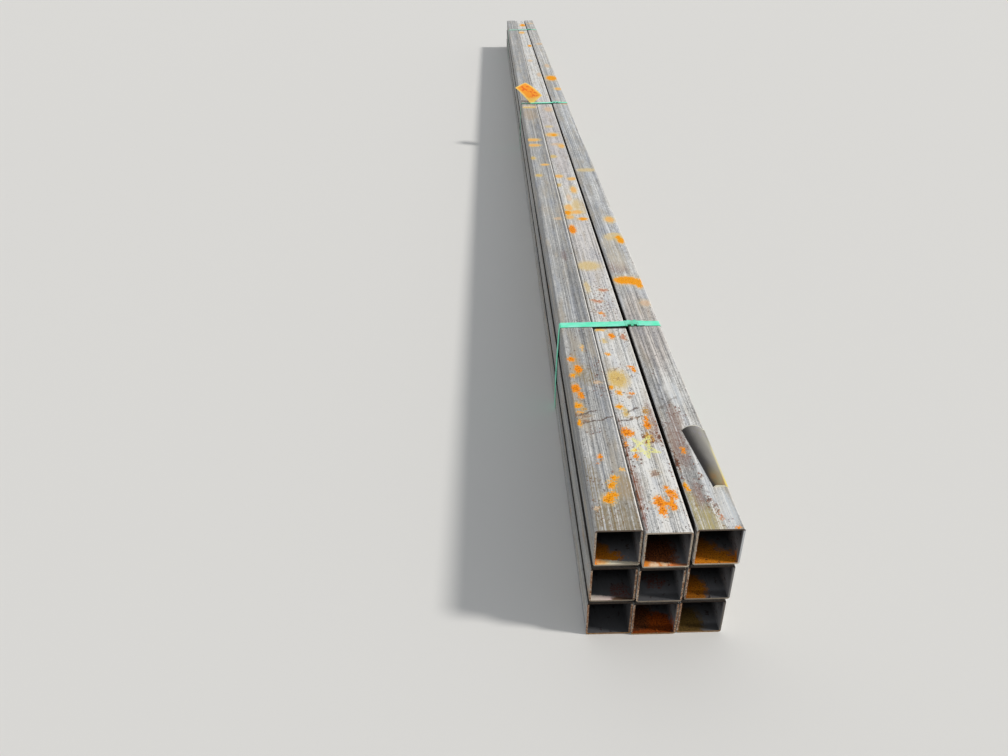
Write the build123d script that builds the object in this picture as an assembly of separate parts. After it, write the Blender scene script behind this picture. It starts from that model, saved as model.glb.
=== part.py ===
from build123d import *
import math
import os

os.makedirs("parts", exist_ok=True)

# One square hollow tube, cold formed and seam welded, sizes in millimetres
tube_size = 100.0
tube_length = 9000.0
wall = 4.0
corner_radius = 6.0

# Weld flash left inside each tube by the seam
bead_width = 5.0
bead_height = 1.2
bead_root = 1.5
seam_offset = 9.0

# The stack, from the top row down and from the left column to the right
row_names = ("top", "middle", "bottom")
column_names = ("left", "centre", "right")
row_shift = {"top": 0.0, "middle": -5.6, "bottom": -10.3}
left_gap = {"top": 3.1, "middle": 2.3, "bottom": 0.9}
right_gap = {"top": 7.7, "middle": 5.1, "bottom": 2.8}

# The tubes of the centre column are rolled a little shallow, so the straps bridge it
shallow = {"left": 0.0, "centre": 0.8, "right": 0.0}

# How far each near end stands back from the foremost one
end_setback = {
    ("top", "left"): 14.0, ("top", "centre"): 6.5, ("top", "right"): 10.5,
    ("middle", "left"): 7.0, ("middle", "centre"): 3.0, ("middle", "right"): 6.5,
    ("bottom", "left"): 3.5, ("bottom", "centre"): 0.0, ("bottom", "right"): 2.5,
}

# Quarter turns of each weld seam from the floor of its tube, seen from the near end
seam_turn = {
    ("top", "left"): 1, ("top", "centre"): 0, ("top", "right"): 3,
    ("middle", "left"): 2, ("middle", "centre"): 1, ("middle", "right"): 0,
    ("bottom", "left"): 3, ("bottom", "centre"): 0, ("bottom", "right"): 2,
}

# Steel strapping pulled tight round the stack
strap_width = 32.0
strap_thickness = 0.9
strap_bend_clearance = 0.6
least_bend_angle = 30.0

# Strap places: the outer two from the tubes' ends, the middle one from their middle
near_strap_from_end = 935.0
middle_strap_off_middle = -286.0
far_strap_from_end = 880.0
strap_place = {
    "near": near_strap_from_end,
    "middle": tube_length / 2 + middle_strap_off_middle,
    "far": tube_length - far_strap_from_end,
}

# Folded sheet seal that closes each strap, its middle measured from the right tube's left side
seal_length = 42.0
seal_thickness = 1.0
seal_side_clearance = 0.4
seal_slot = 7.0
seal_from_side = {"near": 12.0, "middle": 20.0, "far": 15.0}

# Four notches crimped through seal and strap, their flaps bent up
notch_length = 10.0
notch_depth = 6.0
notch_spacing = 19.0
notch_bend = 32.0
cut_clearance = 0.5

# The two ends of each strap, overlapped inside the seal
layer_clearance = 0.1
ramp_length = 16.0
ramp_to_seal = 5.0
outer_end_past_seal = 17.0
inner_end_past_seal = 3.0

# Card tag whose lowest corner is tucked under the middle strap, the rest sprung up behind it
tag_width = 95.0
tag_length = 168.0
tag_thickness = 0.6
tag_tuck = 16.0
tag_from_side = 30.0
tag_turn = 40.0
tag_lean = 48.0
tag_rise = 64.0
tag_bend_radius = 10.0
tag_curl = 70.0
tag_curl_radius = 170.0

# Curled label: its margin is stuck over a corner of the top right tube, the rest is sprung into
# an arch whose near end is folded down
label_length = 220.0
label_from_end = 145.0
label_thickness = 0.8
label_side_drop = 22.0
label_near_chord = 27.0
label_far_chord = 50.0
label_far_height = 13.0
label_arch_steps = 12
label_corner_steps = 3


# Layout of the stack
def tube_height(column):
    return tube_size - shallow[column]


def tube_middle(row, column):
    rows_below = len(row_names) - 1 - row_names.index(row)
    side = {
        "left": -tube_size - left_gap[row],
        "centre": 0.0,
        "right": tube_size + right_gap[row],
    }[column]
    return row_shift[row] + side, strap_thickness + tube_height(column) * (rows_below + 0.5)


def column_top(column):
    return strap_thickness + tube_height(column) * len(row_names)


# One tube, drawn in section with its weld flash and drawn out along its length
def weld_bead():
    half = bead_width / 2
    crown = ThreePointArc((-half, 0), (0, bead_height), (half, 0))
    root = Polyline((half, 0), (half, -bead_root), (-half, -bead_root), (-half, 0))
    return make_face((crown + root).edges())


def tube_section(height, turn):
    bore_width = tube_size - 2 * wall
    bore_height = height - 2 * wall
    outside = RectangleRounded(tube_size, height, corner_radius)
    bore = RectangleRounded(bore_width, bore_height, corner_radius - wall)
    to_wall = bore_height / 2 if turn % 2 == 0 else bore_width / 2
    return outside - bore + Rot(0, 0, 90 * turn) * Pos(seam_offset, -to_wall) * weld_bead()


def tube(row, column):
    x, z = tube_middle(row, column)
    section = tube_section(tube_height(column), seam_turn[row, column])
    bar = extrude(Plane.XZ * section, amount=-tube_length)
    return Pos(x, end_setback[row, column], z) * bar


# Route of a tight strap: the outermost corners it is pulled over, in order round the stack
def side_of_line(start, end, point):
    return (end[0] - start[0]) * (point[1] - start[1]) - (end[1] - start[1]) * (point[0] - start[0])


def half_route(points):
    straight = 1e-6
    route = []
    for point in points:
        while len(route) > 1 and side_of_line(route[-2], route[-1], point) < straight:
            route.pop()
        route.append(point)
    return route[:-1]


def taut_route(corners):
    points = sorted(set(corners))
    return half_route(points) + half_route(points[::-1])


def stack_corners():
    corners = []
    for row in row_names:
        for column in column_names:
            x, z = tube_middle(row, column)
            half_height = tube_height(column) / 2
            for side in (-tube_size / 2, tube_size / 2):
                corners += [(x + side, z - half_height), (x + side, z + half_height)]
    return corners


# The outer side of a strip of even thickness laid along a line of points, mitred at each one
def direction(start, end):
    length = math.dist(start, end)
    return (end[0] - start[0]) / length, (end[1] - start[1]) / length


def outer_side(points, thickness):
    outer = []
    last = len(points) - 1
    for index, (x, z) in enumerate(points):
        into = direction(points[max(index - 1, 0)], points[max(index, 1)])
        away = direction(points[min(index, last - 1)], points[min(index + 1, last)])
        reach = thickness / (1 + into[0] * away[0] + into[1] * away[1])
        outer.append((x + (into[1] + away[1]) * reach, z - (into[0] + away[0]) * reach))
    return outer


# Corners where the line turns sharply are bends round a tube, and get a radius
def is_bend(before, corner, after):
    into = direction(before, corner)
    away = direction(corner, after)
    return into[0] * away[0] + into[1] * away[1] < math.cos(math.radians(least_bend_angle))


def rounded_bends(outline, points, radius):
    for before, corner, after in zip(points, points[1:], points[2:]):
        if is_bend(before, corner, after):
            nearest = outline.vertices().sort_by_distance((corner[0], corner[1], 0))[0]
            outline = fillet(nearest, radius)
    return outline


# What lifts the strap off the tubes: its seal and, at the middle strap, the tag's corner
def seal_middle(name):
    x, z = tube_middle("top", "right")
    return x - tube_size / 2 + seal_from_side[name]


def seal_ledge(name):
    middle = seal_middle(name)
    return middle - seal_length / 2, middle + seal_length / 2, column_top("right") + seal_thickness


def tag_corner():
    x, z = tube_middle("top", "left")
    return x + tube_size / 2 - tag_from_side, column_top("left")


def tag_ledge():
    x, z = tag_corner()
    turn = math.tan(math.radians(tag_turn))
    return x - tag_tuck * turn, x + tag_tuck / turn, z + tag_thickness


def strap_ledges(name):
    ledges = [seal_ledge(name)]
    if name == "middle":
        ledges.append(tag_ledge())
    return ledges


# Middles of the four notches on the seal of a strap, each with the side it is on
def notch_places(name):
    places = []
    for step in (-notch_spacing / 2, notch_spacing / 2):
        for side in (-1, 1):
            places.append((seal_middle(name) + step, side))
    return places


def notched(piece, name):
    outside = strap_width / 2 + seal_side_clearance + seal_thickness + cut_clearance
    depth = outside - strap_width / 2 + notch_depth
    height = 2 * (2 * seal_thickness + 2 * strap_thickness + layer_clearance + cut_clearance)
    for x, side in notch_places(name):
        middle = strap_place[name] + side * (outside - depth / 2)
        piece -= Pos(x, middle, column_top("right")) * Box(notch_length, depth, height)
    return piece


# The strap: one strip whose outer end climbs over its inner end inside the seal
def strap_line(name):
    corners = stack_corners()
    for start, end, top in strap_ledges(name):
        corners += [(start, top), (end, top)]
    route = taut_route(corners)
    start, end, under = seal_ledge(name)
    first = route.index((start, under)) + 1
    round_stack = route[first:] + route[:first]
    before = round_stack[0]
    slope = (under - before[1]) / (start - before[0])
    over = under + strap_thickness + layer_clearance
    ramp_end = start - ramp_to_seal
    ramp_start = ramp_end - ramp_length
    outer_end = [
        (end + outer_end_past_seal, over),
        (ramp_end, over),
        (ramp_start, under - slope * (start - ramp_start)),
    ]
    inner_end = (start - inner_end_past_seal, under - slope * inner_end_past_seal)
    return outer_end + round_stack + [inner_end]


def strap(name):
    line = strap_line(name)
    back = outer_side(line, strap_thickness)
    bend = corner_radius - strap_bend_clearance
    section = Polygon(*line, *back[::-1], align=None)
    section = rounded_bends(section, line, bend)
    section = rounded_bends(section, back, bend + strap_thickness)
    band = extrude(Plane.XZ * section, amount=strap_width / 2, both=True)
    return notched(Pos(0, strap_place[name], 0) * band, name)


# The seal: a plate folded round both layers of strap, notched and crimped
def seal(name):
    start, end, under = seal_ledge(name)
    layers = 2 * strap_thickness + layer_clearance
    inner_width = strap_width + 2 * seal_side_clearance
    outer_width = inner_width + 2 * seal_thickness
    outer_height = layers + 2 * seal_thickness
    sleeve = RectangleRounded(outer_width, outer_height, seal_thickness)
    sleeve -= Rectangle(inner_width, layers)
    sleeve -= Pos(0, -outer_height / 2) * Rectangle(seal_slot, layers + seal_thickness)
    body = extrude(Plane.YZ * sleeve, amount=seal_length)
    body = notched(Pos(start, strap_place[name], under + layers / 2) * body, name)
    flap = Box(notch_length, notch_depth, seal_thickness, align=(Align.CENTER, Align.MIN, Align.MIN))
    for x, side in notch_places(name):
        hinge = strap_place[name] + side * (strap_width / 2 - notch_depth)
        facing = Rot(0, 0, 0 if side > 0 else 180)
        body += Pos(x, hinge, under + layers) * facing * Rot(notch_bend, 0, 0) * flap
    return body


# The tag: a bent sheet trimmed to a turned rectangle, its corner flat under the strap
def tag():
    x, top = tag_corner()
    flat = Line((-tag_tuck, 0), (tag_tuck, 0))
    bend = JernArc(flat @ 1, flat % 1, tag_bend_radius + tag_thickness / 2, tag_rise)
    curl = JernArc(bend @ 1, bend % 1, tag_curl_radius, -tag_curl)
    sheet = trace((flat + bend + curl).edges(), line_width=tag_thickness)
    band = extrude(Plane.YZ * sheet, amount=tag_length + tag_width, both=True)
    outline = Rectangle(tag_width, tag_length, align=(Align.MIN, Align.MIN))
    trim = extrude(Rot(0, 0, tag_turn) * outline, amount=tag_length + tag_width, both=True)
    corner = strap_place["middle"] + strap_width / 2 - tag_tuck
    return Pos(x, corner, top + tag_thickness / 2) * (band & Rot(tag_lean, 0, 0) * trim)


# The label in section: an arch that ends on the tube's corner, then its margin round that corner
def on_circle(centre, radius, angles):
    return [(centre[0] + radius * math.sin(angle), centre[1] + radius * math.cos(angle)) for angle in angles]


def even_steps(start, end, steps):
    return [start + (end - start) * step / steps for step in range(steps + 1)]


def arch_lines(chord):
    edge = tube_size / 2 - corner_radius
    top = tube_height("right") / 2
    inner_end = 2 * math.atan(2 * label_far_height / label_far_chord)
    radius = chord / 2 / math.sin(inner_end)
    outer = radius + label_thickness
    rise = radius * math.cos(inner_end)
    outer_start = math.acos(rise / outer)
    outer_end = math.acos((rise + label_thickness) / outer)
    centre = (edge - chord / 2, top - rise)
    inside = on_circle(centre, radius, even_steps(-inner_end, inner_end, label_arch_steps))
    outside = on_circle(centre, outer, even_steps(-outer_start, outer_end, label_arch_steps))
    return inside, outside


def label_section(chord):
    edge = tube_size / 2 - corner_radius
    top = tube_height("right") / 2
    inside, outside = arch_lines(chord)
    half_step = math.pi / 4 / label_corner_steps
    angles = [half_step * (2 * step + 1) for step in range(label_corner_steps)]
    centre = (edge, top - corner_radius)
    clear_radius = corner_radius / math.cos(half_step)
    round_inside = on_circle(centre, clear_radius, angles)
    round_outside = on_circle(centre, clear_radius + label_thickness, angles)
    side, low = tube_size / 2, top - label_side_drop
    tail = [(side + label_thickness, low), (side, low)]
    return Polygon(*outside, *round_outside, *tail, *round_inside[::-1], *inside[::-1], align=None)


# The label: its two end sections joined straight, and the near end of the arch folded down
def label():
    x, z = tube_middle("top", "right")
    near = label_from_end
    far = label_from_end + label_length
    ends = [Plane.XZ.offset(-near) * label_section(label_near_chord),
            Plane.XZ.offset(-far) * label_section(label_far_chord)]
    inside, outside = arch_lines(label_near_chord)
    outline = Plane.XZ.offset(-near) * Polygon(*outside, inside[-1], align=None)
    fold = extrude(outline, amount=label_thickness, dir=(0, 1, 0))
    return Pos(x, 0, z) * (loft(ends, ruled=True) + fold)


# All the pieces, each under its own name
pieces = {}
for row in row_names:
    for column in column_names:
        pieces["tube_" + row + "_" + column] = tube(row, column)
for name in strap_place:
    pieces["strap_" + name] = strap(name)
    pieces["seal_" + name] = seal(name)
pieces["tucked_tag"] = tag()
pieces["curled_label"] = label()

# Origin at the middle of the footprint, on the floor
boxes = [piece.bounding_box() for piece in pieces.values()]
low = [min(tuple(box.min)[axis] for box in boxes) for axis in range(3)]
high = [max(tuple(box.max)[axis] for box in boxes) for axis in range(3)]
centred = Pos(-(low[0] + high[0]) / 2, -(low[1] + high[1]) / 2, -low[2])
for name, piece in pieces.items():
    solids = (centred * piece).solids()
    export_step(solids[0] if len(solids) == 1 else Compound(solids), "parts/" + name + ".step")
    print(name, len(solids), "solid", round(piece.volume), "mm3")
print("size", [round(high[axis] - low[axis], 2) for axis in range(3)])
print("shift", [round(value, 3) for value in tuple(centred.position)])
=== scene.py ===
import bpy
import math
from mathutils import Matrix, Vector


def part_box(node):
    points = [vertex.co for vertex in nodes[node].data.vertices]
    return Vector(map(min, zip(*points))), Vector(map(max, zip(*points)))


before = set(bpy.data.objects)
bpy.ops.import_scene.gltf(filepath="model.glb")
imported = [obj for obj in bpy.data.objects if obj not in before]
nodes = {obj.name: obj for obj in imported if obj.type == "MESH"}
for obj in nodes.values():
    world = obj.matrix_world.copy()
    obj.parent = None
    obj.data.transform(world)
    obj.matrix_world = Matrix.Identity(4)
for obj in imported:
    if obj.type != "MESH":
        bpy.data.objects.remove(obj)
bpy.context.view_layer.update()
scene = bpy.context.scene
mm = 0.001
print("frame loaded,", len(nodes), "pieces")


# plain helpers for colours and node trees
def srgb(red, green, blue):
    values = []
    for c in (red / 255, green / 255, blue / 255):
        values.append(c / 12.92 if c <= 0.04045 else ((c + 0.055) / 1.055) ** 2.4)
    return (*values, 1.0)


def stops(*rows):
    # the colours of a ramp: where each one stands, then its red, green and blue
    return [(at, srgb(*colour)) for at, *colour in rows]


class NodeSketch:
    # the node tree of a material or of the world, and short calls for the nodes in it
    def __init__(self, owner):
        owner.use_nodes = True
        self.owner = owner
        self.tree = owner.node_tree
        self.shader = self.tree.nodes.get("Principled BSDF")

    def plug(self, socket, value):
        if isinstance(value, bpy.types.NodeSocket):
            self.tree.links.new(value, socket)
        else:
            socket.default_value = value

    def node(self, kind, inputs=None, **settings):
        made = self.tree.nodes.new(kind)
        for key, value in settings.items():
            setattr(made, key, value)
        for key, value in (inputs or {}).items():
            self.plug(made.inputs[key], value)
        return made

    def calc(self, how, a, b=None, clamp=False):
        made = self.node("ShaderNodeMath", operation=how, use_clamp=clamp)
        self.plug(made.inputs[0], a)
        if b is not None:
            self.plug(made.inputs[1], b)
        return made.outputs[0]

    def times(self, product, *others):
        for other in others:
            product = self.calc("MULTIPLY", product, other)
        return product

    def plus(self, a, b):
        return self.calc("ADD", a, b)

    def minus(self, a, b):
        return self.calc("SUBTRACT", a, b)

    def most(self, a, b):
        return self.calc("MAXIMUM", a, b)

    def swing(self, noise, reach):
        # a noise made to run to both sides of zero
        return self.times(self.minus(noise, 0.5), reach)

    def vector(self, how, a, b=None):
        made = self.node("ShaderNodeVectorMath", operation=how)
        self.plug(made.inputs[0], a)
        if b is not None:
            self.plug(made.inputs[1], b)
        return made.outputs["Value" if how in ("LENGTH", "DOT_PRODUCT") else "Vector"]

    def stretched(self, vector, size):
        return self.vector("MULTIPLY", vector, size)

    def place(self, vector, move=(0, 0, 0), turn=(0, 0, 0), size=(1, 1, 1), how="POINT"):
        inputs = {"Vector": vector, "Location": move, "Rotation": turn, "Scale": size}
        return self.node("ShaderNodeMapping", inputs, vector_type=how).outputs[0]

    def scaled(self, vector, size, move):
        inputs = {0: vector, 1: size, 2: move}
        return self.node("ShaderNodeVectorMath", inputs, operation="MULTIPLY_ADD").outputs[0]

    def axes(self, vector):
        return self.node("ShaderNodeSeparateXYZ", {0: vector}).outputs

    def join(self, x, y, z):
        return self.node("ShaderNodeCombineXYZ", {0: x, 1: y, 2: z}).outputs[0]

    def noise(self, vector, size, detail=2.0, rough=0.5, colour=False):
        # size is the width of one blotch
        inputs = {"Vector": vector, "Scale": 1 / size, "Detail": detail, "Roughness": rough}
        return self.node("ShaderNodeTexNoise", inputs).outputs["Color" if colour else "Fac"]

    def coords(self):
        return self.node("ShaderNodeTexCoord").outputs["Object"]

    def facing(self):
        return self.axes(self.node("ShaderNodeNewGeometry").outputs["True Normal"])

    def cells(self, vector, size):
        made = self.node("ShaderNodeTexVoronoi", {"Vector": vector, "Scale": 1 / size})
        return made.outputs["Distance"], self.axes(made.outputs["Color"])[0]

    def fade(self, value, low, high):
        # 0 at low and 1 at high, smooth between them
        inputs = {"Value": value, "From Min": low, "From Max": high}
        return self.node("ShaderNodeMapRange", inputs, interpolation_type="SMOOTHSTEP").outputs[0]

    def mask(self, value, kind):
        # the same between the two values that masks has for this kind
        return self.fade(value, *masks[kind])

    def blend(self, amount, a, b, how="MIX"):
        inputs = {0: amount, 6: a, 7: b}
        return self.node("ShaderNodeMix", inputs, data_type="RGBA", blend_type=how).outputs[2]

    def coat(self, under, tint, mask, share):
        # a layer of one colour over what is there, where the mask says
        return self.blend(self.times(mask, share), under, tint)

    def ramp(self, value, rows):
        made = self.node("ShaderNodeValToRGB", {0: value})
        steps = made.color_ramp.elements
        while len(steps) < len(rows):
            steps.new(0.5)
        for step, (at, colour) in zip(steps, rows):
            step.position = at
            step.color = colour if isinstance(colour, tuple) else (colour, colour, colour, 1)
        return made.outputs[0]

    def bump(self, height, depth):
        made = self.node("ShaderNodeBump", {"Strength": 1.0, "Distance": depth, "Height": height})
        self.plug(self.shader.inputs["Normal"], made.outputs[0])
        return made


def dress(name, material):
    piece = nodes[name]
    piece.data.materials.clear()
    piece.data.materials.append(material)


# the steel of the tubes
steel = {
    "dark": srgb(100, 103, 108),
    "middle": srgb(170, 171, 171),
    "light": srgb(240, 240, 238),
    "bluish": srgb(160, 170, 188),
    "tan": srgb(188, 176, 156),
    "pepper": srgb(74, 62, 56),
    "bloom": srgb(230, 202, 126),
    "scratch": srgb(100, 84, 76),
    "scratchWidth": 5.0,
    # the colour of the painted highlight along the right-hand corners
    "corner": srgb(238, 234, 228),
    "boreScale": srgb(138, 139, 142),
    "boreDark": srgb(112, 112, 115),
    "borePits": srgb(70, 30, 26),
    "boreShade": srgb(10, 9, 9),
    "stripPits": srgb(76, 48, 30),
    # painted shade: the colour of the gaps between the tubes and of the lines in front of the straps
    "gapShade": srgb(34, 30, 27),
    "metallic": 0.22,
    "specular": 0.08,
    "roughness": 0.58,
    "rustRoughness": 0.9,
    "bumpDepth": 0.0005,
}

# each kind of rust from its darkest specks to its brightest parts: value of the noise, colour
rustPaints = {
    "orange": stops((0.37, 130, 60, 16), (0.43, 222, 106, 10), (0.49, 252, 146, 4), (0.66, 255, 174, 44)),
    "amber": stops((0.35, 136, 74, 20), (0.42, 232, 132, 6), (0.50, 254, 164, 2), (0.66, 255, 192, 60)),
    "pale": stops((0.30, 222, 130, 60), (0.42, 242, 168, 84), (0.54, 248, 190, 100), (0.70, 246, 212, 150)),
    "faint": stops((0.30, 212, 150, 110), (0.45, 226, 182, 142), (0.60, 228, 200, 166), (0.75, 226, 212, 190)),
    "gold": stops((0.38, 76, 48, 30), (0.47, 166, 106, 40), (0.56, 216, 160, 62), (0.68, 230, 200, 120)),
    "brown": stops((0.40, 70, 44, 34), (0.48, 130, 86, 62), (0.56, 172, 136, 112), (0.66, 196, 184, 172)),
    "dark": stops((0.38, 40, 24, 20), (0.50, 86, 46, 34), (0.60, 150, 80, 44), (0.70, 204, 124, 60)),
    "red": stops((0.36, 104, 56, 36), (0.48, 196, 106, 62), (0.60, 220, 138, 92), (0.72, 222, 178, 150)),
    "yellow": stops((0.34, 172, 120, 52), (0.45, 214, 176, 90), (0.58, 230, 202, 126), (0.72, 226, 214, 176)),
    "cream": stops((0.34, 192, 158, 100), (0.46, 216, 192, 140), (0.58, 226, 206, 160), (0.74, 230, 222, 196)),
    "pit": stops((0.36, 96, 48, 12), (0.50, 150, 78, 14), (0.64, 196, 104, 12)),
    "speck": stops((0.36, 52, 30, 26), (0.50, 98, 54, 38), (0.62, 156, 86, 48), (0.72, 206, 122, 58)),
}

# how far each kind blooms and how well it covers, from the lowest layer to the highest
rustLayers = [
    ("faint", 0.15, 0.56), ("cream", 0.20, 0.75), ("yellow", 0.25, 0.80), ("brown", 0.15, 0.75),
    ("red", 0.20, 0.75), ("gold", 0.25, 0.85), ("dark", 0.10, 0.85), ("pale", 0.50, 0.80),
    ("amber", 0.34, 0.97), ("orange", 0.22, 0.97), ("pit", 0.0, 0.65),
]

# how one column of tubes differs from the next: its brightness, the contrast of its streaks, the
# share of small pits, how warm it is, and how clear the painted highlight on its right-hand corner and its
# scratches are
tubeCast = {
    "left": {"tone": -0.06, "contrast": 0.86, "pits": 0.12, "tan": 0.06, "corner": 0.95, "scratch": 0.9},
    "centre": {"tone": 0.27, "contrast": 1.30, "pits": 0.22, "tan": 0.10, "corner": 0.85, "scratch": 0.9},
    "right": {"tone": 0.07, "contrast": 1.15, "pits": 0.20, "tan": 0.10, "corner": 0.40, "scratch": 0.45},
}

# light and dark bands rolled into the top of each tube: across from its centre line, brightness;
# the bright steps at the right-hand edge are painted highlight along the corner
tubeBands = {
    "left": [
        (-50, 0.34), (-46, 0.50), (-37, 0.52), (-31, 0.64), (-26, 0.55), (-9, 0.50), (-6, 0.38), (-3, 0.58),
        (4, 0.62), (9, 0.46), (25, 0.42), (42, 0.43), (45, 0.52), (47, 0.95), (50, 0.90),
    ],
    "centre": [
        (-50, 0.34), (-47, 0.40), (-44, 0.52), (-33, 0.48), (-29, 0.74), (-26, 0.70), (-22, 0.48),
        (-17, 0.58), (-13, 0.74), (4, 0.70), (8, 0.40), (13, 0.45), (18, 0.60), (26, 0.52), (33, 0.62),
        (43, 0.58), (50, 0.80),
    ],
    "right": [
        (-50, 0.44), (-43, 0.52), (-37, 0.52), (-20, 0.46), (-8, 0.46), (-3, 0.62), (2, 0.86), (6, 0.62),
        (10, 0.50), (20, 0.56), (28, 0.62), (36, 0.54), (47, 0.56), (50, 0.80),
    ],
}

# where marks lie on a top, in mm: across from its centre line, along from its near end, then the
# half width and the half length

# thin rust stains, clean stretches and grime
stains = {
    "left": {
        srgb(142, 125, 88): [(0, 30, 70, 74), (30, 130, 40, 60), (-44, 160, 24, 90), (0, 620, 24, 60)],
        srgb(180, 158, 128): [(28, 140, 20, 46), (-40, 500, 18, 110), (-28, 680, 20, 70), (-10, 3850, 46, 170)],
        srgb(255, 230, 180): [(-2, 4085, 56, 52)],
        srgb(128, 106, 98): [(12, 1490, 13, 60)],
    },
    "centre": {
        srgb(218, 184, 104): [(-20, 608, 34, 60), (-14, 1397, 44, 46)],
        srgb(206, 178, 122): [(24, 2050, 24, 130)],
        srgb(146, 104, 84): [(-44, 150, 14, 80), (-47, 340, 8, 90), (38, 400, 18, 90), (28, 350, 18, 46)],
        srgb(140, 84, 62): [(-47, 70, 7, 70), (-48, 250, 6, 60), (-48, 170, 6, 40)],
    },
    "right": {
        srgb(188, 172, 108): [(-24, 12, 32, 74), (-40, 70, 20, 56)],
        srgb(208, 213, 217): [(28, 60, 24, 74), (6, 140, 10, 110), (10, 520, 20, 70)],
        srgb(152, 126, 116): [(-28, 300, 24, 100), (-12, 410, 18, 60), (-18, 1370, 40, 60), (-24, 110, 12, 50)],
        srgb(204, 194, 174): [(-4, 1460, 36, 110), (-20, 1600, 30, 60)],
        srgb(228, 227, 224): [(-2, 549, 14, 34), (0, 601, 7, 9), (-1, 638, 6, 8)],
    },
}

# stretches that are darker or warmer as a whole, roll marks and all
washes = {
    "left": {},
    "centre": {
        srgb(241, 238, 238): [(0, 1600, 60, 520)],
        srgb(233, 229, 231): [(0, 3350, 60, 1250)],
        srgb(246, 245, 246): [(0, 1030, 60, 120)],
    },
    "right": {
        srgb(248, 251, 255): [(0, 3700, 60, 1900)],
        srgb(247, 250, 255): [(0, 1780, 60, 420)],
        srgb(242, 236, 233): [(0, 900, 60, 330)],
    },
}

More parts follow.
